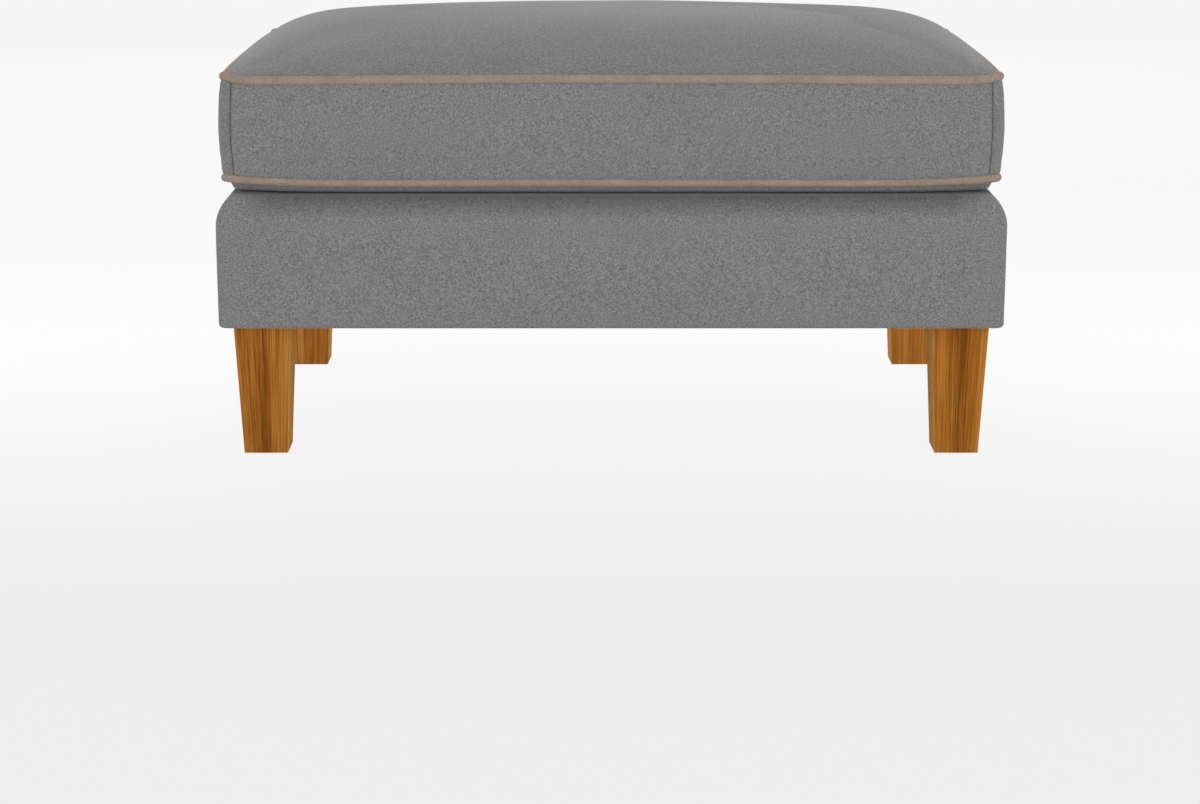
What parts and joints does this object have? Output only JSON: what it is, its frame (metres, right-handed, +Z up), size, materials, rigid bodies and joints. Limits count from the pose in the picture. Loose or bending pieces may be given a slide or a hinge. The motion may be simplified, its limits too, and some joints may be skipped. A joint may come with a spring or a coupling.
{
  "type": "ottoman footstool",
  "caption": "Rectangular upholstered footstool: padded box base on tapered square wooden legs, with a loose piped box cushion that lifts off and a zip in its back.",
  "frame": {"origin": "on the floor, under the middle of the base", "axes": "+Z up, +X along the long side, to the right of someone who faces the front, and the front faces -Y"},
  "size_m": [0.8, 0.49, 0.4444],
  "materials": {
    "grey_cloth": "matt fine twill",
    "taupe_piping": "matt woven sleeve over a cord",
    "leg_wood": "clear satin lacquer",
    "frame_pine": "planed, unfinished",
    "plywood": "sanded, unfinished",
    "foam": "open cell foam",
    "wadding": "polyester fibre",
    "zinc_steel": "zinc plated",
    "black_nonwoven": "matt spunbond",
    "glide_nylon": "moulded nylon",
    "zip_tape": "woven tape",
    "zip_coil": "nylon coil",
    "zip_metal": "satin nickel plate"
  },
  "bodies": {
    "base": {"base_cover": "grey_cloth", "deck_foam": "foam", "padding_front": "wadding", "padding_back": "wadding", "padding_left": "wadding", "padding_right": "wadding", "frame_front_rail": "frame_pine", "frame_back_rail": "frame_pine", "frame_left_rail": "frame_pine", "frame_right_rail": "frame_pine", "frame_centre_rail": "frame_pine", "corner_block_front_left": "frame_pine", "corner_block_front_right": "frame_pine", "corner_block_back_left": "frame_pine", "corner_block_back_right": "frame_pine", "deck_panel": "plywood", "frame_screws": "zinc_steel", "deck_screws": "zinc_steel", "dust_cover": "black_nonwoven", "dust_cover_staples": "zinc_steel", "leg_front_left": "leg_wood", "leg_front_right": "leg_wood", "leg_back_left": "leg_wood", "leg_back_right": "leg_wood", "hanger_bolts": "zinc_steel", "leg_inserts": "zinc_steel", "leg_glides": "glide_nylon"},
    "cushion": {"cushion_core": "foam", "cushion_wrap": "wadding", "cushion_top_panel": "grey_cloth", "cushion_bottom_panel": "grey_cloth", "cushion_boxing": "grey_cloth", "back_boxing_upper": "grey_cloth", "back_boxing_lower": "grey_cloth", "piping_top": "taupe_piping", "piping_bottom": "taupe_piping", "zip_tapes": "zip_tape", "zip_chain": "zip_coil", "zip_stops": "zip_metal"},
    "zip_slider": {"zip_slider": "zip_metal", "zip_pull_pin": "zip_metal"},
    "zip_pull": {"zip_pull": "zip_metal"}
  },
  "joints": [
    {"name": "cushion_lift", "type": "slide", "parent": "base", "child": "cushion", "axis": [0, 0, 1], "range_m": [0, 0.2]},
    {"name": "zip_slide", "type": "slide", "parent": "cushion", "child": "zip_slider", "axis": [-1, 0, 0], "range_m": [0, 0.6064]},
    {"name": "zip_pull_swing", "type": "hinge", "parent": "zip_slider", "child": "zip_pull", "pos_m": [0.3032, 0.22885, 0.33394], "axis": [0, 0, 1], "range_deg": [0, 180]}
  ]
}
